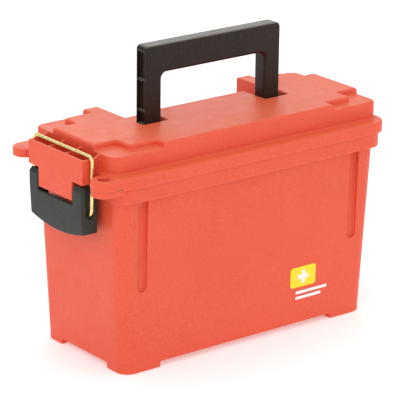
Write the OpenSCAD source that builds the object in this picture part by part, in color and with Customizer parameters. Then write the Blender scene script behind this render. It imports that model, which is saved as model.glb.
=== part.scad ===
// Latching storage box for a first aid kit, with a hinged lid, a bail latch and a folding carry handle.
// Frame: +X towards the hinge end, -X towards the latch end, -Y towards the labelled long side, +Z up.
// The origin is on the floor under the middle of the box. Units are millimetres.

/* [Which piece] */
// Piece to show

/* [Tub] */
// Half length of the tub at the floor
tub_a0 = 121; // [100:0.5:140]
// Half depth of the tub at the floor
tub_b0 = 53; // [40:0.5:60]
// Half length of the tub just under its rim
tub_a1 = 128; // [105:0.5:145]
// Half depth of the tub just under its rim
tub_b1 = 55.4; // [42:0.1:62]
// Radius of the upright corners of the tub
tub_r = 11; // [6:0.5:20]
// Wall thickness of the tub
tub_wall = 3; // [2:0.1:5]
// Height of the rim's underside
rim_z0 = 141.5; // [120:0.5:160]
// Height of the joint between tub and lid
part_z = 153.8; // [130:0.1:170]
// Half length of the rim
rim_a = 131; // [120:0.5:140]
// Half depth of the rim
rim_b = 62; // [55:0.5:65]
// Corner radius of the rim
rim_r = 14; // [8:0.5:20]
// Height of the stacking feet
foot_h = 4.5; // [2:0.1:8]

/* [Side grooves] */
// Distance of each upright groove from the middle
groove_x = 104.8; // [80:0.1:112]
// Width of a groove
groove_w = 9; // [5:0.5:14]
// Height of the groove's lower end
groove_z0 = 66; // [30:1:100]
// Distance of the groove's floor from the middle plane
groove_y = 51.3; // [48:0.1:54]

/* [Lid] */
// Height of the top of the lid's edge band
band_z = 162.7; // [155:0.1:175]
// Half length of the edge band
band_a = 133.5; // [120:0.5:140]
// Half depth of the edge band
band_b = 64.8; // [58:0.1:66]
// Corner radius of the edge band
band_r = 16; // [8:0.5:24]
// Half length of the lid's crown
crown_a = 130.5; // [115:0.5:135]
// Half depth of the crown
crown_b = 53; // [45:0.5:60]
// Corner radius of the crown
crown_r = 9; // [6:0.5:16]
// Height of the four corner pads
pad_z = 176.6; // [170:0.1:180]
// Height of the crown
top_z = 181.1; // [175:0.1:190]
// Lid wall thickness
lid_wall = 2.8; // [2:0.1:4]

/* [Stacking steps] */
// Outer step along the length
step_x1 = 109.5; // [95:0.5:120]
// Inner step along the length
step_x2 = 84; // [70:0.5:95]
// Outer step across the depth
step_y1 = 43; // [35:0.5:48]
// Inner step across the depth
step_y2 = 27; // [15:0.5:34]
// Corner radius of the steps
step_r = 4; // [1:0.5:8]

/* [Handle] */
// Half width over the handle's legs
handle_a = 66; // [50:0.5:72]
// Width of a leg
leg_w = 15; // [8:0.5:20]
// Thickness of the handle, front to back
handle_t = 14; // [8:0.5:18]
// Height of the grip's top
handle_top = 241; // [215:0.5:260]
// Height of the grip's bar
grip_h = 22.5; // [14:0.5:30]
// Radius of the handle's outer corners
grip_r_out = 3.5; // [1:0.5:8]
// Radius of the corners of the hand opening
grip_r_in = 5; // [1:0.5:10]
// Height of the handle's pivot
pivot_z = 174.2; // [168:0.1:178]
// Distance of the handle's pivot from the middle plane
pivot_y = 1; // [-5:0.5:6]
// Radius of the moulded trunnions
trunnion_r = 3; // [2:0.1:4]
// Width of the slots that take the legs
slot_w = 23.6; // [23:0.1:26]
// Distance of each slot's middle from the middle of the pair
slot_x = 60.3; // [60:0.1:61.5]
// Shift of the pair of slots towards the hinge end
slot_shift = 2.2; // [-2:0.1:2.2]
// Half width of the pockets in the legs
pocket_b = 5; // [3:0.1:5.4]
// Gap between a slot's front edge and the leg
slot_gap = 1.6; // [0.5:0.1:3]
// Half length of the hollow that takes the folded grip
well_a = 69.9; // [68:0.1:80]
// Height of that hollow's floor
well_z = 166.5; // [160:0.1:170]
// Start of that hollow, behind the middle
well_y = 20; // [10:0.5:30]

/* [Latch] */
// Outer face of the latch
latch_x = -147.5; // [-152:0.5:-140]
// Half width of the latch lever
lever_b = 34.5; // [25:0.5:38]
// Position of the lever's pivot along the length
lev_px = -141.2; // [-144:0.1:-138]
// Height of the lever's pivot
lev_pz = 143.5; // [138:0.1:148]
// Radius of the lever's pin
lev_pin_r = 1.6; // [1:0.1:2.5]
// Position of the bail along the length
bail_x = -139.6; // [-143:0.1:-137]
// Height of the bail's ends in the lever
bail_z0 = 129; // [120:0.5:135]
// Height of the bail's cross bar
bail_z1 = 175.2; // [165:0.1:180]
// Distance of the bail's legs from the middle
bail_y = 37.8; // [37.2:0.1:39]
// Radius of the bail's wire
wire_r = 1.5; // [0.8:0.1:1.6]
// Radius of the bail's upper bends
bend_r = 4; // [2:0.5:8]
// Radius of the bends at its inturned ends
hook_r = 5; // [2:0.5:5.5]
// Half width of the catch plate
plate_b = 35; // [28:0.5:38]
// Top of the catch plate
plate_z = 173.3; // [168:0.1:173.5]
// Half width of the catch tongue
tongue_b = 21.8; // [15:0.1:28]
// Lower edge of the catch tongue
tongue_z = 138.7; // [134:0.1:148]

/* [Padlock ears and lifting tab] */
// Position of the ears and the tab along the length
ear_x = -138.3; // [-142:0.1:-134]
// Distance of the ears' centre from the middle
ear_y = 50.5; // [50:0.5:54]
// Outer radius of an ear
ear_r = 9.8; // [7:0.1:10]
// Radius of a padlock hole
ear_hole_r = 4.6; // [3:0.1:6]
// Top of the lid's ear and tab
ear_z1 = 161.8; // [156:0.1:162]
// Underside of the tub's ear
ear_z0 = 149.3; // [143:0.1:151]
// Distance of the tab's centre from the middle
tab_y = 52; // [51:0.5:54]
// Outer radius of the tab
tab_r = 10; // [8:0.1:10.5]
// Underside of the tab
tab_z0 = 155; // [154:0.1:157]

/* [Hinge] */
// Position of the hinge axis along the length
hinge_x = 141.7; // [136:0.1:145]
// Height of the hinge axis
hinge_z = 152; // [148:0.1:156]
// Outer radius of the hinge knuckles
knuckle_r = 5.8; // [4:0.1:8]
// Radius of the hinge pin
hinge_pin_r = 1.75; // [1.2:0.05:3]
// Half length of the hinge
hinge_b = 34; // [30:1:55]

/* [Label] */
// Middle of the label along the length
label_x = 60; // [30:1:90]
// Middle of the label's height
label_z = 38; // [20:1:100]

/* [Hidden] */
// Every piece of the box
// Smoothness of round faces
$fn = 48;
// Height of the thin slab at the foot of the leaning walls
e = 0.01;
// Clearance of a running pin
run = 0.06;
// Lean of the long walls
lean = atan((tub_b1 - tub_b0) / (rim_z0 - foot_h));
// Inner face of the lever's skin
skin_x = latch_x + 2.4;
// Inside of each handle leg
leg_in = handle_a - leg_w;
// Place of the patch on the label
patch_at = [-5, 6];
// Middle of each handle leg
leg_mid = handle_a - leg_w / 2;

// Rounded rectangle from its half sizes and corner radius
module rr(a, b, r) {
  square([2 * a - 2 * r, 2 * b], center = true);
  square([2 * a, 2 * b - 2 * r], center = true);
  for (sx = [-1, 1]) for (sy = [-1, 1]) translate([sx * (a - r), sy * (b - r)]) circle(r = r);
}

// Rounded slab between two heights
module slab(a, b, r, z0, z1) {
  translate([0, 0, z0]) linear_extrude(z1 - z0) rr(a, b, r);
}

// Plain block between two corners
module block(x0, x1, y0, y1, z0, z1) {
  translate([x0, y0, z0]) cube([x1 - x0, y1 - y0, z1 - z0]);
}

// Rod along Y
module rod_y(x, z, r, y0, y1) {
  translate([x, y0, z]) rotate([-90, 0, 0]) cylinder(r = r, h = y1 - y0);
}

// Rod along X
module rod_x(y, z, r, x0, x1) {
  translate([x0, y, z]) rotate([0, 90, 0]) cylinder(r = r, h = x1 - x0);
}

// Outline of one stacking foot, in the corner with signs sx and sy
module foot_outline(sx, sy) {
  intersection() {
    rr(tub_a0, tub_b0, tub_r);
    union() {
      translate([sx * (86 + 30), sy * (43 + 10)]) rr(30, 10, 3);
      translate([sx * (104 + 20), sy * (30 + 15)]) rr(20, 15, 3);
    }
  }
}

// The raised middle of the lid, which leaves the four lower corner pads
module plateau_outline() {
  rr(step_x2, crown_b + 8, step_r);
  rr(step_x1, step_y1, step_r);
  rr(crown_a + 8, step_y2, step_r);
}

// Knuckles of the hinge: k = 0 gives the tub's three, k = 1 the lid's two
module knuckles(k) {
  for (i = [0:4]) if (i % 2 == k) {
    y0 = -hinge_b + i * 2 * hinge_b / 5 + 0.3;
    y1 = y0 + 2 * hinge_b / 5 - 0.6;
    difference() {
      union() {
        rod_y(hinge_x, hinge_z, knuckle_r, y0, y1);
        if (k == 0) block(rim_a - 1, hinge_x, y0, y1, hinge_z - knuckle_r, hinge_z - 0.4);
        if (k == 1) block(band_a - 1, hinge_x, y0, y1, hinge_z + 2.2, hinge_z + knuckle_r);
      }
      rod_y(hinge_x, hinge_z, hinge_pin_r + run, y0 - 1, y1 + 1);
    }
  }
}

// Rounded lug on the latch end, centred at y, between two heights
module lug(y, r, z0, z1) {
  translate([ear_x, y, z0]) cylinder(r = r, h = z1 - z0);
  block(ear_x, -124, y - r, y + r, z0, z1);
}

// Padlock hole through the ears
module padlock_hole() {
  translate([ear_x, -ear_y, ear_z0 - 1]) cylinder(r = ear_hole_r, h = ear_z1 - ear_z0 + 2);
}

// Brackets on the rim that hold the lever's pin
module lever_brackets() {
  for (sy = [-1, 1]) difference() {
    union() {
      rod_y(lev_px, lev_pz, 3.5, sy * 26.2 - 2.6, sy * 26.2 + 2.6);
      block(lev_px, -130, sy * 26.2 - 2.6, sy * 26.2 + 2.6, lev_pz - 3.5, lev_pz + 1);
      block(-131, -126, sy * 26.2 - 2.6, sy * 26.2 + 2.6, lev_pz - 3.5, lev_pz + 4);
    }
    rod_y(lev_px, lev_pz, lev_pin_r + run, sy * 26.2 - 4, sy * 26.2 + 4);
  }
}

// Open box with feet, grooves, rim, padlock ear, lever brackets and hinge knuckles
module tub() {
  color([0.87, 0.22, 0.13]) difference() {
    union() {
      hull() {
        slab(tub_a0, tub_b0, tub_r, foot_h, foot_h + e);
        slab(tub_a1, tub_b1, tub_r, rim_z0 - 0.5, rim_z0 + 1);
      }
      for (sx = [-1, 1]) for (sy = [-1, 1]) linear_extrude(foot_h + 1) foot_outline(sx, sy);
      slab(rim_a, rim_b, rim_r, rim_z0, part_z);
      lug(-ear_y, ear_r, ear_z0, part_z);
      lever_brackets();
      knuckles(0);
    }
    // Inside of the tub, with ribs of wall left behind the grooves
    difference() {
      hull() {
        slab(tub_a0 - tub_wall, tub_b0 - tub_wall, tub_r - 3, foot_h + 3, foot_h + 3.5);
        slab(tub_a1 - tub_wall, tub_b1 - tub_wall, tub_r - 3, part_z, part_z + 1);
      }
      for (sx = [-1, 1]) for (sy = [-1, 1]) {
        block(sx * groove_x - 7, sx * groove_x + 7, sy * 53 - 4.4, sy * 53 + 4.4, groove_z0 - 3, rim_z0 + 3);
      }
    }
    // Upright grooves in both long walls
    for (sx = [-1, 1]) for (sy = [-1, 1]) {
      block(sx * groove_x - groove_w / 2, sx * groove_x + groove_w / 2,
        sy * (groove_y + 5) - 5, sy * (groove_y + 5) + 5, groove_z0 + groove_w / 2, rim_z0);
      rod_y(sx * groove_x, groove_z0 + groove_w / 2, groove_w / 2,
        sy * (groove_y + 5) - 5, sy * (groove_y + 5) + 5);
    }
    padlock_hole();
  }
}

// Ends of the slot on side sx, along X, grown by g
function slot_end(sx, end, g) = sx * slot_x + slot_shift + end * (slot_w / 2 + g);

// Hollow for the folded handle: slots for the legs and a well for the grip
module handle_hollow(g, zf) {
  block(-well_a - g, well_a + g, well_y - g, 80, zf, top_z + 2);
  for (sx = [-1, 1]) {
    block(slot_end(sx, -1, g), slot_end(sx, 1, g),
      pivot_y - handle_t / 2 - slot_gap - g, well_y + 1, zf, top_z + 2);
  }
}

// Catch plate, tongue and webs on the latch end of the lid
module catch_block() {
  block(latch_x, latch_x + 2.6, -plate_b, plate_b, part_z + 0.2, plate_z);
  block(latch_x, latch_x + 2.6, -tongue_b, tongue_b, tongue_z, part_z + 1);
  block(latch_x + 1, -128, -plate_b, plate_b, part_z + 0.2, part_z + 2.6);
  for (y = [-plate_b + 1, -10.8, 10.8, plate_b - 1]) {
    difference() {
      block(latch_x + 1, -128, y - 1, y + 1, part_z + 1, 175.6);
      // Saddle for the bail and a hollow sweep up to the crown
      block(latch_x - 1, -136.5, y - 2, y + 2, plate_z, 180);
      rod_y(-136.5, plate_z + 6, 6, y - 2, y + 2);
    }
  }
}

// Lid with its edge band, crown, stacking pads, handle hollow, catch, padlock ear, lifting tab and knuckles
module lid() {
  color([0.92, 0.30, 0.20]) difference() {
    union() {
      slab(band_a, band_b, band_r, part_z + 0.1, band_z);
      slab(crown_a, crown_b, crown_r, band_z - 1, pad_z);
      intersection() {
        slab(crown_a, crown_b, crown_r, pad_z - 1, top_z);
        translate([0, 0, pad_z - 1]) linear_extrude(top_z - pad_z + 1) plateau_outline();
      }
      catch_block();
      lug(-ear_y, ear_r, part_z + 0.1, ear_z1);
      lug(tab_y, tab_r, tab_z0, ear_z1);
      knuckles(1);
    }
    // Inside of the crown, with walls left round the handle's hollow
    difference() {
      slab(crown_a - 4.4, crown_b - lid_wall, crown_r - lid_wall, part_z - 1, pad_z - lid_wall);
      handle_hollow(4, well_z - 2.6);
    }
    handle_hollow(0, well_z);
    // Blind holes for the handle's trunnions
    for (sx = [-1, 1]) {
      rod_x(pivot_y, pivot_z, trunnion_r + 0.08, slot_end(sx, -1, 3.4), slot_end(sx, 1, 3.4));
    }
    // Groove for the gasket
    difference() {
      slab(130.4, 58.6, 12, part_z - 1, part_z + 3.6);
      slab(127.4, 55.6, 9, part_z - 2, part_z + 4);
    }
    padlock_hole();
  }
}

// Rubber ring in the lid's groove
module gasket() {
  color([0.16, 0.16, 0.17]) difference() {
    slab(130.3, 58.5, 11.9, part_z + 0.05, part_z + 3.5);
    slab(127.5, 55.7, 9.1, part_z - 1, part_z + 5);
  }
}

// Rectangle from x0 to x1 and from z0 to z1 with its two upper corners rounded
module arched(x0, x1, z0, z1, r) {
  translate([x0, z0]) square([x1 - x0, z1 - z0 - r]);
  translate([x0 + r, z0]) square([x1 - x0 - 2 * r, z1 - z0]);
  for (x = [x0 + r, x1 - r]) translate([x, z1 - r]) circle(r = r);
}

// Front outline of the handle
module handle_outline() {
  difference() {
    arched(-handle_a, handle_a, pivot_z, handle_top, grip_r_out);
    arched(-leg_in, leg_in, pivot_z - 1, handle_top - grip_h, grip_r_in);
  }
}

// Carry handle with hollow leg sides and moulded trunnions
module handle() {
  color([0.10, 0.09, 0.09]) difference() {
    union() {
      translate([0, pivot_y + handle_t / 2, 0]) rotate([90, 0, 0]) linear_extrude(handle_t) handle_outline();
      for (sx = [-1, 1]) {
        rod_x(pivot_y, pivot_z, handle_t / 2, sx * leg_mid - leg_w / 2, sx * leg_mid + leg_w / 2);
        rod_x(pivot_y, pivot_z, trunnion_r, slot_end(sx, -1, 3), slot_end(sx, 1, 3));
      }
    }
    // Pockets in the outer side of each leg, split by two cross webs
    for (sx = [-1, 1]) for (z = [[179, 188.4], [190, 213], [214.6, 236]]) {
      block(sx * handle_a - 3.2, sx * handle_a + 3.2, pivot_y - pocket_b, pivot_y + pocket_b, z[0], z[1]);
    }
  }
}

// Side outline of the lever: leaning front face, deep sides and a cut-back top
module lever_side() {
  polygon([
    [latch_x, 148.8], [latch_x, 138], [latch_x + 1.8, 108], [-133.6, 108],
    [-132.6, 116], [-132.6, 146.2], [-136, 149.6], [-139, 151.3], [latch_x + 2.4, 151.3]
  ]);
}

// Front outline of the lever: bowed lower edge with rounded corners
module lever_front() {
  intersection() {
    translate([0, 224]) circle(r = 115, $fn = 180);
    translate([0, 140]) rr(lever_b, 32, 9);
    translate([0, 120]) square([2 * lever_b, 100], center = true);
  }
}

// Latch lever: a moulded cover with side walls, a notch for the tongue and pockets for the bail
module latch_lever() {
  color([0.13, 0.16, 0.14]) difference() {
    intersection() {
      translate([0, 60, 0]) rotate([90, 0, 0]) linear_extrude(120) lever_side();
      translate([-160, 0, 0]) rotate([90, 0, 90]) linear_extrude(40) lever_front();
    }
    // Hollow behind the front skin
    block(skin_x, -120, -29.3, 29.3, 116, 160);
    block(skin_x + 1.6, -120, -29.3, 29.3, 112.4, 117);
    // Notch for the catch tongue
    block(-150, -140, -tongue_b - 1.1, tongue_b + 1.1, 135.8, 160);
    // U-shaped pockets in both sides for the bail's ends
    for (sy = [-1, 1]) {
      block(-143.4, -135.8, sy * 34.5 - 2.2, sy * 34.5 + 2.2, bail_z0 + 0.4, 160);
      rod_y(bail_x, bail_z0 + 0.4, 3.8, sy * 34.5 - 2.2, sy * 34.5 + 2.2);
      rod_y(bail_x, bail_z0, wire_r + run, sy * 31 - 5, sy * 31 + 5);
    }
    rod_y(lev_px, lev_pz, lev_pin_r + run, -31.7, 31.7);
  }
}

// Steel pin of the lever
module latch_pin() {
  color([0.7, 0.7, 0.7]) rod_y(lev_px, lev_pz, lev_pin_r, -31.4, 31.4);
}

// Quarter bend of the wire with radius r in the plane of the bail, from angle a0 on
module wire_bend(r, a0) {
  rotate([90, 0, 90]) rotate([0, 0, a0]) rotate_extrude(angle = 90)
    translate([r, 0]) circle(r = wire_r, $fn = 32);
}

// Wire bail: cross bar, two legs and two ends that turn in to the lever
module bail() {
  leg_z0 = bail_z0 + hook_r;
  leg_z1 = bail_z1 - bend_r;
  color([0.83, 0.72, 0.42]) translate([bail_x, 0, 0]) union() {
    rod_y(0, bail_z1, wire_r, -bail_y + bend_r, bail_y - bend_r);
    for (sy = [-1, 1]) {
      translate([0, sy * bail_y, leg_z0]) cylinder(r = wire_r, h = leg_z1 - leg_z0);
      translate([0, sy * (bail_y - bend_r), leg_z1]) wire_bend(bend_r, sy > 0 ? 0 : 90);
      translate([0, sy * (bail_y - hook_r), leg_z0]) wire_bend(hook_r, sy > 0 ? 270 : 180);
      rod_y(0, bail_z0, wire_r, sy > 0 ? 29.5 : hook_r - bail_y, sy > 0 ? bail_y - hook_r : -29.5);
    }
  }
}

// Steel pin of the hinge
module hinge_pin() {
  color([0.7, 0.7, 0.7]) rod_y(hinge_x, hinge_z, hinge_pin_r, -hinge_b - 0.5, hinge_b + 0.5);
}

// Puts a flat label shape on the leaning front wall, between two heights above it
module on_wall(t0, t1) {
  translate([label_x, -tub_b0 - (label_z - foot_h) * tan(lean), label_z]) rotate([90 + lean, 0, 0])
    translate([0, 0, t0]) linear_extrude(t1 - t0) children();
}

// Plain rounded label patch
module label_patch() {
  color([0.93, 0.75, 0.20]) on_wall(0.06, 0.4) translate(patch_at) rr(13, 8.5, 2.5);
}

// Plain cross on the patch
module label_cross() {
  color([0.97, 0.97, 0.95]) on_wall(0.42, 0.62) translate(patch_at) union() {
    square([11, 3.6], center = true);
    square([3.6, 11], center = true);
  }
}

// Two plain writing lines below the patch
module label_lines() {
  color([0.97, 0.97, 0.95]) for (i = [0, 1]) {
    on_wall(0.06, 0.4) translate([4 - 3 * i, -7.2 - 4.6 * i]) square([32 - 6 * i, 2.4], center = true);
  }
}

tub();
lid();
gasket();
handle();
latch_lever();
latch_pin();
bail();
hinge_pin();
label_patch();
label_cross();
label_lines();
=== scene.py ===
"""Looks of the latching first aid box: moulded pieces with softened edges, procedural materials, studio."""

import math

import bmesh
import bpy
from mathutils import Matrix, Vector


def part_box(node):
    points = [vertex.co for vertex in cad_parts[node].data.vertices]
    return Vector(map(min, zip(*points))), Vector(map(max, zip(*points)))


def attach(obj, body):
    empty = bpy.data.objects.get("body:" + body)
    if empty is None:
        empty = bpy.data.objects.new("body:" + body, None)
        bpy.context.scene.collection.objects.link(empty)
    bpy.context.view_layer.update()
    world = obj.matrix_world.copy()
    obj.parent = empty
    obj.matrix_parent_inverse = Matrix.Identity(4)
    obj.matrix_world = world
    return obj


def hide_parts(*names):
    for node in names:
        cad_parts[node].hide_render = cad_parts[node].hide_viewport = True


MM = 0.001  # lengths below are in metres, mostly written as millimetres times this

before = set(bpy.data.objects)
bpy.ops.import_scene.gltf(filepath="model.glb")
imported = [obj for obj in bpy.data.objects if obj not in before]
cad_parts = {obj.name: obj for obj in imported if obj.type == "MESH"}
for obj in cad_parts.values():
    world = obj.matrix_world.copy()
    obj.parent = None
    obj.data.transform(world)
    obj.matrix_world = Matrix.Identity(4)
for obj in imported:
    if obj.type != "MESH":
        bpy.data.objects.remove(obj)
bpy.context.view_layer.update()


# ---------------------------------------------------------------- node helpers

class Tree:
    """A short way to build a material's nodes."""

    def __init__(self, name):
        self.mat = bpy.data.materials.new(name)
        self.mat.use_nodes = True
        self.nodes = self.mat.node_tree.nodes
        self.links = self.mat.node_tree.links
        self.shader = self.nodes["Principled BSDF"]
        self.coords = self.nodes.new("ShaderNodeTexCoord")
        self.where = self.coords.outputs["Object"]

    def add(self, kind, **values):
        """A new node; each value sets a property or, failing that, the input of that name."""
        node = self.nodes.new(kind)
        for key, value in values.items():
            if hasattr(node, key):
                setattr(node, key, value)
            else:
                node.inputs[key.replace("_", " ")].default_value = value
        return node

    def link(self, out, into):
        """Joins an output to an input."""
        self.links.new(out, into)

    def noise(self, size, detail=2.0, rough=0.5, where=None):
        """Noise whose features are about size metres across."""
        node = self.add("ShaderNodeTexNoise", Detail=detail, Roughness=rough, Scale=1.0 / size)
        self.link(where or self.where, node.inputs["Vector"])
        return node.outputs["Fac"]

    def grain(self, size):
        """Cellular grain, as spark-eroded moulds leave."""
        node = self.add("ShaderNodeTexVoronoi", Scale=1.0 / size)
        self.link(self.where, node.inputs["Vector"])
        return node.outputs["Distance"]

    def spread(self, value, low, high, start=0.0, end=1.0):
        """Maps value from start..end to low..high."""
        node = self.add("ShaderNodeMapRange", clamp=True)
        for key, number in (("From Min", start), ("From Max", end), ("To Min", low), ("To Max", high)):
            node.inputs[key].default_value = number
        self.link(value, node.inputs["Value"])
        return node.outputs["Result"]

    def mix(self, factor, a, b):
        """Colour mix; a and b are colours or sockets."""
        node = self.add("ShaderNodeMix", data_type="RGBA")
        share, colour_a, colour_b, result = node.inputs[0], node.inputs[6], node.inputs[7], node.outputs[2]
        self.link(factor, share)
        for socket, value in ((colour_a, a), (colour_b, b)):
            if isinstance(value, tuple):
                socket.default_value = (*value, 1.0)
            else:
                self.link(value, socket)
        return result

    def upward(self):
        """How far a face points up in its own piece, from -1 to 1."""
        parts = self.add("ShaderNodeSeparateXYZ")
        self.link(self.coords.outputs["Normal"], parts.inputs[0])
        return parts.outputs["Z"]

    def bump(self, layers):
        """Stacked bumps: (height socket, depth in metres) from coarse to fine."""
        normal = None
        for height, depth in layers:
            node = self.add("ShaderNodeBump", Strength=1.0, Distance=depth)
            self.link(height, node.inputs["Height"])
            if normal is not None:
                self.link(normal, node.inputs["Normal"])
            normal = node.outputs["Normal"]
        self.link(normal, self.shader.inputs["Normal"])

    def edge(self, radius, start, end):
        """About 1 on outer and inner edges, 0 on flat faces."""
        soft = self.add("ShaderNodeBevel", samples=4, Radius=radius)
        plain = self.add("ShaderNodeNewGeometry")
        dot = self.add("ShaderNodeVectorMath", operation="DOT_PRODUCT")
        self.link(soft.outputs["Normal"], dot.inputs[0])
        self.link(plain.outputs["Normal"], dot.inputs[1])
        return self.spread(dot.outputs["Value"], low=1.0, high=0.0, start=start, end=end)


def moulded(name, tint, dark, light, grain_size, rough, gloss, scatter=0.0, painted_top_light=None):
    """Injection-moulded polymer: drifting tint, fine grain, scuffs, painted highlights along the edges, and
    painted top light on upward faces.
    """
    t = Tree(name)
    drift = t.noise(90 * MM, detail=3.0, rough=0.55)
    colour = t.mix(t.spread(drift, low=0.0, high=1.0, start=0.35, end=0.68), dark, tint)
    # Upward faces are mixed toward a paler colour: painted top light, standing in for the light and
    # reflection from above.
    if painted_top_light:
        colour = t.mix(t.spread(t.upward(), low=0.0, high=1.0, start=0.55, end=0.98), colour, painted_top_light)
    speck = t.noise(1.6 * MM, detail=2.0, rough=0.7)
    colour = t.mix(t.spread(speck, low=0.0, high=0.30, start=0.52, end=0.72), colour, light)
    scuff = t.noise(12 * MM, detail=6.0, rough=0.72)
    # Painted highlight: edges are mixed toward the pale colour, broken into patches by the scuff pattern.
    edge_highlight = t.add("ShaderNodeMath", operation="MULTIPLY")
    t.link(t.edge(radius=1.5 * MM, start=0.80, end=0.995), edge_highlight.inputs[0])
    t.link(t.spread(scuff, low=0.30, high=0.85, start=0.40, end=0.62), edge_highlight.inputs[1])
    colour = t.mix(edge_highlight.outputs["Value"], colour, light)
    t.link(colour, t.shader.inputs["Base Color"])
    dullness = t.spread(scuff, low=rough - 0.06, high=rough + 0.10, start=0.35, end=0.68)
    t.link(dullness, t.shader.inputs["Roughness"])
    t.shader.inputs["Specular IOR Level"].default_value = gloss
    t.shader.inputs["Subsurface Weight"].default_value = scatter
    t.shader.inputs["Subsurface Radius"].default_value = (4 * MM, 1.2 * MM, 0.6 * MM)
    t.shader.inputs["Subsurface Scale"].default_value = 1.0
    sink = t.noise(45 * MM, detail=1.0)
    grain_depth = grain_size * 0.06
    t.bump([(sink, 0.35 * MM), (scuff, 0.04 * MM), (t.grain(grain_size), grain_depth)])
    return t.mat


def wire_metal(name, tint, dark):
    """Drawn metal wire or rod: streaks along it, a few dull spots."""
    t = Tree(name)
    stretch = t.add("ShaderNodeMapping")
    stretch.inputs["Scale"].default_value = (1.0, 0.12, 0.12)
    t.link(t.where, stretch.inputs["Vector"])
    streak = t.noise(0.7 * MM, detail=3.0, rough=0.6, where=stretch.outputs["Vector"])
    spots = t.noise(4 * MM, detail=4.0, rough=0.65)
    colour = t.mix(t.spread(spots, low=0.0, high=0.7, start=0.45, end=0.72), tint, dark)
    t.link(colour, t.shader.inputs["Base Color"])
    t.link(t.spread(streak, low=0.16, high=0.34, start=0.3, end=0.7), t.shader.inputs["Roughness"])
    t.shader.inputs["Metallic"].default_value = 1.0
    t.bump([(streak, 0.03 * MM)])
    return t.mat


def printed(name, tint, dark):
    """Printed film: slightly mottled ink over the box's grain."""
    t = Tree(name)
    mottle = t.noise(2.2 * MM, detail=4.0, rough=0.6)
    colour = t.mix(t.spread(mottle, low=0.0, high=1.0, start=0.42, end=0.75), tint, dark)
    t.link(colour, t.shader.inputs["Base Color"])
    t.link(t.spread(mottle, low=0.34, high=0.46, start=0.3, end=0.7), t.shader.inputs["Roughness"])
    t.bump([(t.grain(0.9 * MM), 0.03 * MM)])
    return t.mat


# Pale orange for the specks in the polymer and for the painted highlights along the edges.
SPECK_AND_HIGHLIGHT_ORANGE = (0.88, 0.20, 0.125)
ORANGE = moulded("tub_polymer", tint=(0.760, 0.087, 0.035), dark=(0.725, 0.078, 0.030), light=SPECK_AND_HIGHLIGHT_ORANGE,
                 grain_size=0.8 * MM, rough=0.42, gloss=0.4, scatter=0.06)
# The lid's last colour is painted top light for its upward faces.
ORANGE_LID = moulded("lid_polymer", tint=(0.770, 0.087, 0.035), dark=(0.735, 0.077, 0.030),
                     light=SPECK_AND_HIGHLIGHT_ORANGE, grain_size=1.0 * MM, rough=0.46, gloss=0.4, scatter=0.06,
                     painted_top_light=(0.785, 0.124, 0.050))
# The handle's last colour is a painted highlight on upward faces, making the grip's top paler.
BLACK = moulded("handle_polymer", tint=(0.018, 0.0080, 0.0040), dark=(0.013, 0.0060, 0.0030),
                light=(0.060, 0.047, 0.040), grain_size=0.7 * MM, rough=0.38, gloss=0.24,
                painted_top_light=(0.130, 0.122, 0.106))
LEVER = moulded("lever_polymer", tint=(0.026, 0.029, 0.023), dark=(0.018, 0.022, 0.017),
                light=(0.090, 0.090, 0.082), grain_size=0.6 * MM, rough=0.36, gloss=0.22)
RUBBER = moulded("seal_rubber", tint=(0.022, 0.022, 0.023), dark=(0.016, 0.016, 0.017),
                 light=(0.05, 0.05, 0.05), grain_size=0.5 * MM, rough=0.72, gloss=0.3)
STEEL = wire_metal("pin_steel", tint=(0.56, 0.56, 0.57), dark=(0.34, 0.33, 0.32))
PLATED = wire_metal("bail_plating", tint=(0.86, 0.75, 0.33), dark=(0.52, 0.40, 0.14))
YELLOW = printed("label_yellow", tint=(0.90, 0.74, 0.004), dark=(0.82, 0.64, 0.003))
WHITE = printed("label_white", tint=(0.88, 0.87, 0.85), dark=(0.80, 0.79, 0.77))


# ---------------------------------------------------------------- pieces

WIDEST = 3.0 * MM  # the bevel's full width; an edge's weight is its own radius as a share of it
SHARP = math.radians(28.0)  # faces that turn more than this against each other get a rounded edge
FLAT = math.radians(0.4)  # faces that turn less than this become one
WELD = 0.02 * MM  # points closer than this become one
SLIVER = 0.01 * MM  # edges shorter than this are dissolved

# Heights on the lid, half lengths and corner radii of its crown and edge band, and where its parts lie
LID_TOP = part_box("lid")[1][2]
PAD_TOP = LID_TOP - 4.5 * MM
WELL_FLOOR = LID_TOP - 14.6 * MM
BAND_TOP = LID_TOP - 18.4 * MM
BAND_FOOT = LID_TOP - 27.1 * MM
CROWN_END = 130.5 * MM
CROWN_CORNER = 9 * MM
BAND_END = 133.5 * MM
BAND_CORNER = 16 * MM
HOLLOW = 78.5 * MM  # half length of the hollow for the folded handle, with its trunnion holes
CATCH_HALF = 36 * MM  # half width of the catch plate and its webs, and a little more
EAR_INNER = 38 * MM  # the ear and the tab lie farther from the middle than this
TAB_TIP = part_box("lid")[0][0]  # the lifting tab reaches out farthest
PLATE_ZONE = TAB_TIP + 3 * MM  # the catch plate's outer edges lie beyond this
WEB_ZONE = TAB_TIP + 16.5 * MM  # the catch's webs lie beyond this, all but where they meet the crown

# The tub
FEET_ZONE = 6 * MM  # edges below this are on the feet and the floor's outer edge
RIM_ZONE = LID_TOP - 39.6 * MM - 1.2 * MM  # edges above this are on the rim and what stands on it
INNER_X = 120.5 * MM  # edges within both this and INNER_Y are inside the tub
INNER_Y = 51 * MM
FITTINGS = 130 * MM  # the brackets, the ear and the knuckles lie beyond this

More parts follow.
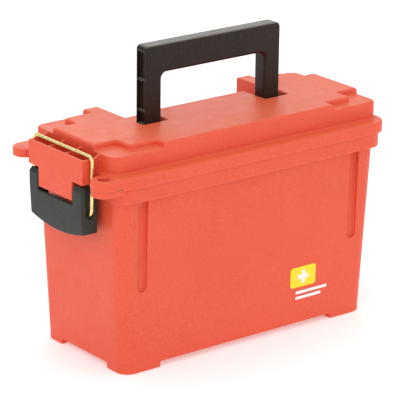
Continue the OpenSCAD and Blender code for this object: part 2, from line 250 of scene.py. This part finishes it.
# The handle
HANDLE_MID = (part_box("handle")[0][1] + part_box("handle")[1][1]) / 2
HANDLE_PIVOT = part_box("handle")[0][2] + 7.0 * MM
HANDLE_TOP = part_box("handle")[1][2]
SLOT_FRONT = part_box("handle")[0][1] - 2.0 * MM  # the hollow for the handle lies behind this
TRUNNION = 3.4 * MM  # the trunnions' radius, and a little more
LEG_OUTSIDE = 66.5 * MM  # only the trunnions reach beyond this
POCKET_X = 60 * MM  # the pockets lie beyond this
POCKET_HALF = 5.3 * MM  # the pockets' half width, and a little more
POCKET_FOOT = HANDLE_PIVOT + 4 * MM
POCKET_HEAD = HANDLE_PIVOT + 62.5 * MM
WINDOW_X = 52 * MM  # the window between the legs lies within this
WINDOW_HEAD = HANDLE_PIVOT + 56 * MM
CREST = 3.5 * MM  # the radius grows over this height, up to the grip's top

# The lever
COVER_ZONE = TAB_TIP + 2.6 * MM  # the cover's outer face lies beyond this
COVER_LOWER = 136 * MM  # the cover's lower outer edges lie below this height
COVER_SIDE = 24 * MM  # the cover's side edges lie farther from the middle than this

CRISP = 0.4  # the usual radius of a small moulded detail, in millimetres


class Edge:
    """What a radius rule needs to know about one edge."""

    def __init__(self, edge):
        a, b = (v.co for v in edge.verts)
        self.x, self.y, self.z = (a + b) / 2
        self.level = abs(a.z - b.z) < 0.1 * MM
        self.convex = edge.is_convex


def near(value, target, slack=0.3 * MM):
    """Whether two lengths are the same but for a small slack."""
    return abs(value - target) < slack


def rising(x, end, corner, low, high):
    """A radius that grows evenly round a corner: low on the face at x = end, high on the side."""
    share = min(max((x - end) / corner, 0.0), 1.0)
    return low + (high - low) * math.acos(1.0 - share) / (math.pi / 2)


def lid_radius(e):
    """Radius in millimetres: soft crown, pads and band; crisp catch webs; small radii inside."""
    in_hollow = abs(e.x) < HOLLOW and e.y > SLOT_FRONT and e.z > WELL_FLOOR - 1 * MM
    by_catch = abs(e.y) < CATCH_HALF
    on_crown_top = e.z > LID_TOP - 0.5 * MM
    at_band_foot = near(abs(e.x), BAND_END, 1 * MM) and near(e.z, BAND_FOOT, 0.4 * MM)
    on_ear_top = e.z > BAND_TOP - 1.5 * MM and abs(e.y) > EAR_INNER and e.level
    if on_crown_top:
        return 1.3 if in_hollow else 2.3
    if in_hollow:
        return 0.35
    # The catch and the knuckles meet the band's foot here, and a wider rounding would fold over.
    if by_catch and at_band_foot:
        return 0.04
    if by_catch and e.x < PLATE_ZONE:
        return 0.9
    if by_catch and e.x < WEB_ZONE:
        return CRISP
    if near(e.z, PAD_TOP) and e.level:
        return rising(e.x, -CROWN_END, CROWN_CORNER, 0.9, 2.1) if e.convex else 1.0
    if e.z > PAD_TOP:
        return 1.0
    if near(e.z, BAND_TOP):
        return rising(e.x, -BAND_END, BAND_CORNER, 0.45, 1.6) if e.convex else 1.2
    if on_ear_top:
        return 0.8 if e.convex else 0.3
    return CRISP


def tub_radius(e):
    """Radius in millimetres: soft walls, grooves and feet; small inside, on the rim and the brackets."""
    outside = abs(e.y) > INNER_Y or abs(e.x) > INNER_X
    if e.z < FEET_ZONE:
        return 1.0
    if not outside:
        return 0.2
    if e.z > RIM_ZONE or abs(e.x) > FITTINGS:
        return CRISP
    return 0.9


def handle_radius(e):
    """Radius in millimetres: a well rounded grip and legs, crisper pockets and trunnions."""
    if math.hypot(e.y - HANDLE_MID, e.z - HANDLE_PIVOT) < TRUNNION or abs(e.x) > LEG_OUTSIDE:
        return 0.3
    in_pocket = abs(e.y - HANDLE_MID) < POCKET_HALF and abs(e.x) > POCKET_X
    if in_pocket and POCKET_FOOT < e.z < POCKET_HEAD:
        return 0.2
    if abs(e.x) < WINDOW_X and e.z < WINDOW_HEAD:
        return 2.5
    crest = (e.z - HANDLE_TOP) / CREST + 1.0
    return 1.7 + 0.4 * min(max(crest, 0.0), 1.0)


def lever_radius(e):
    """Radius in millimetres: a rounded cover with crisp pockets behind it."""
    front = e.x < COVER_ZONE
    if front and e.convex and e.z < COVER_LOWER:
        return 1.5
    if front and abs(e.y) > COVER_SIDE:
        return 1.3
    if front:
        return 0.7
    return CRISP


def finish_piece(obj, body, material, node):
    """Puts the piece on its body and the CAD node it stands for, and paints it."""
    obj.data.materials.clear()
    obj.data.materials.append(material)
    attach(obj, body)
    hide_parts(node)


def new_object(name, bm):
    """An object in the scene with the given mesh, which is used up."""
    mesh = bpy.data.meshes.new(name)
    bm.to_mesh(mesh)
    bm.free()
    obj = bpy.data.objects.new(name, mesh)
    bpy.context.scene.collection.objects.link(obj)
    return obj


def clean_copy(node):
    """The CAD node's shape as a welded mesh with large flat faces, ready for rounding."""
    bm = bmesh.new()
    bm.from_mesh(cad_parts[node].data)
    bmesh.ops.remove_doubles(bm, verts=bm.verts, dist=WELD)
    bmesh.ops.dissolve_limit(bm, angle_limit=FLAT, verts=bm.verts, edges=bm.edges, delimit={"NORMAL"})
    bmesh.ops.dissolve_degenerate(bm, dist=SLIVER, edges=bm.edges)
    bmesh.ops.delete(bm, geom=[e for e in bm.edges if not e.link_faces], context="EDGES")
    bm.normal_update()
    return bm


def softened(name, node, body, material, radius_of, segments=3):
    """A piece with the node's shape, each edge rounded by the radius in millimetres that radius_of gives."""
    bm = clean_copy(node)
    weight = bm.edges.layers.float.new("bevel_weight_edge")
    for edge in bm.edges:
        if len(edge.link_faces) == 2 and edge.calc_face_angle(0.0) > SHARP:
            edge[weight] = radius_of(Edge(edge)) * MM / WIDEST
    # Large outlines become triangles before the bevel, because triangulated after it they can fold over.
    outlines = [face for face in bm.faces if len(face.verts) > 4]
    bmesh.ops.triangulate(bm, faces=outlines, ngon_method="BEAUTY")
    for face in bm.faces:
        face.smooth = True
    obj = new_object(name, bm)
    bevel = obj.modifiers.new("rounded_edges", "BEVEL")
    bevel.width = WIDEST
    bevel.segments = segments
    bevel.limit_method = "WEIGHT"
    bevel.use_clamp_overlap = False
    bevel.loop_slide = False
    bevel.miter_outer = "MITER_ARC"
    normals = obj.modifiers.new("face_normals", "WEIGHTED_NORMAL")
    normals.keep_sharp = True
    finish_piece(obj, body, material, node)


def arc(centre, radius, start, end):
    """Points along an arc in the YZ plane, angles in degrees above the level."""
    y, z = centre
    steps = 10
    angles = [math.radians(start + (end - start) * i / steps) for i in range(steps + 1)]
    return [(y + radius * math.cos(a), z + radius * math.sin(a)) for a in angles]


def tube(name, path, radius):
    """A round bar swept along a path in one YZ plane, with slightly domed ends."""
    bm = bmesh.new()
    sides = 24
    dome_rise = 0.3  # as shares of the bar's radius
    dome_width = 0.72
    points = [Vector(p) for p in path]
    first = points[0] + (points[0] - points[1]).normalized() * radius * dome_rise
    last = points[-1] + (points[-1] - points[-2]).normalized() * radius * dome_rise
    stations = [(first, dome_width)] + [(p, 1.0) for p in points] + [(last, dome_width)]
    rings = []
    for i, (p, scale) in enumerate(stations):
        before = stations[max(i - 1, 0)][0]
        after = stations[min(i + 1, len(stations) - 1)][0]
        along = (after - before).normalized()
        side = Vector((1.0, 0.0, 0.0))
        top = along.cross(side)
        ring = []
        for k in range(sides):
            turn = 2 * math.pi * k / sides
            ring.append(bm.verts.new(p + (side * math.cos(turn) + top * math.sin(turn)) * radius * scale))
        rings.append(ring)
    for a, b in zip(rings, rings[1:]):
        for k in range(sides):
            bm.faces.new((a[k], a[(k + 1) % sides], b[(k + 1) % sides], b[k]))
    bm.faces.new(rings[0][::-1])
    bm.faces.new(rings[-1])
    bmesh.ops.recalc_face_normals(bm, faces=bm.faces)
    for face in bm.faces:
        face.smooth = len(face.verts) == 4
    return new_object(name, bm)


def bail_wire():
    """The bail as one bent wire: its legs lean in a little and its ends hook into the lever."""
    low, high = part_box("bail")
    r = (high[0] - low[0]) / 2
    x = (high[0] + low[0]) / 2
    half = high[1] - r
    foot = low[2] + r
    head = high[2] - r
    top_bend = 4.0 * MM
    hook = 5.0 * MM  # bend radius of the two ends
    lean = 1.1 * MM  # how far each leg's foot lies inside its head
    hook_end = 29.7 * MM  # how far from the middle the ends stop
    side = [(hook_end, foot)] + arc((half - lean - hook, foot + hook), hook, -90, 0)
    side += arc((half - top_bend, head - top_bend), top_bend, 0, 90)
    path = side + [(-y, z) for y, z in reversed(side)]
    return tube("bail_wire", [(x, y, z) for y, z in path], r)


def paint(node, material):
    """A CAD node that stays, in its own material."""
    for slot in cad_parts[node].material_slots:
        slot.link = "OBJECT"
        slot.material = material


softened("box_tub", "tub", "box", ORANGE, tub_radius)
softened("box_lid", "lid", "lid", ORANGE_LID, lid_radius, 4)
softened("lid_seal", "gasket", "lid", RUBBER, lambda e: 0.7)
softened("carry_handle", "handle", "handle", BLACK, handle_radius, 4)
softened("lever_cover", "latch_lever", "lever", LEVER, lever_radius)
softened("lever_axle", "latch_pin", "box", STEEL, lambda e: 0.3)
softened("hinge_rod", "hinge_pin", "box", STEEL, lambda e: 0.4)
finish_piece(bail_wire(), "bail", PLATED, "bail")
paint("label_patch", YELLOW)
paint("label_cross", WHITE)
paint("label_lines", WHITE)


# ---------------------------------------------------------------- studio

def floor():
    """A wide pale floor under the feet."""
    bm = bmesh.new()
    bmesh.ops.create_grid(bm, x_segments=1, y_segments=1, size=6.0)
    obj = new_object("studio_floor", bm)
    t = Tree("studio_floor")
    cloudy = t.mix(t.noise(0.8), (0.84, 0.84, 0.84), (0.86, 0.86, 0.86))
    t.link(cloudy, t.shader.inputs["Base Color"])
    t.shader.inputs["Roughness"].default_value = 0.85
    t.shader.inputs["Emission Color"].default_value = (1.0, 1.0, 1.0, 1.0)
    t.shader.inputs["Emission Strength"].default_value = 0.32
    obj.data.materials.append(t.mat)


def softbox(name, where, target, size, power):
    """A square soft light aimed at a point."""
    light = bpy.data.lights.new(name, "AREA")
    light.shape = "SQUARE"
    light.size = size
    light.energy = power
    obj = bpy.data.objects.new(name, light)
    bpy.context.scene.collection.objects.link(obj)
    obj.location = where
    obj.rotation_mode = "QUATERNION"
    obj.rotation_quaternion = (Vector(where) - Vector(target)).to_track_quat("Z", "Y")


def studio():
    """White surroundings and four soft lights round the box's middle."""
    world = bpy.data.worlds.new("studio")
    bpy.context.scene.world = world
    world.use_nodes = True
    surroundings = world.node_tree.nodes["Background"]
    surroundings.inputs["Color"].default_value = (1.0, 1.0, 1.0, 1.0)
    surroundings.inputs["Strength"].default_value = 0.76
    middle = (0.0, 0.0, 0.10)
    softbox("key", where=(-1.7, -0.9, 1.2), target=middle, size=1.4, power=11.6)
    softbox("fill", where=(1.0, -1.7, 0.9), target=middle, size=1.6, power=6.0)
    softbox("top", where=(0.1, 0.4, 1.8), target=middle, size=1.6, power=5.5)
    softbox("back", where=(0.9, 1.6, 1.1), target=middle, size=1.2, power=5.0)


def camera():
    """A long lens from the latch end and the labelled side, a little above the lid."""
    azimuth = math.radians(-38.18)
    elevation = math.radians(18.82)
    roll = math.radians(0.73)
    target = Vector((-0.0080, 0.0, 0.1057))
    distance = 1.987
    back = Vector((math.sin(azimuth) * math.cos(elevation),
                   -math.cos(azimuth) * math.cos(elevation),
                   math.sin(elevation)))
    right = (-back).cross(Vector((0, 0, 1))).normalized()
    up = right.cross(-back)
    side = right * math.cos(roll) + up * math.sin(roll)
    top = up * math.cos(roll) - right * math.sin(roll)
    data = bpy.data.cameras.new("camera")
    data.sensor_width = 36.0
    data.lens = 226.15  # in millimetres, like the sensor's width
    data.clip_end = 50.0
    obj = bpy.data.objects.new("camera", data)
    bpy.context.scene.collection.objects.link(obj)
    turn = Matrix((side, top, back)).transposed().to_4x4()
    obj.matrix_world = Matrix.Translation(target + back * distance) @ turn
    bpy.context.scene.camera = obj


floor()
studio()
camera()
bpy.context.scene.view_settings.view_transform = "Standard"
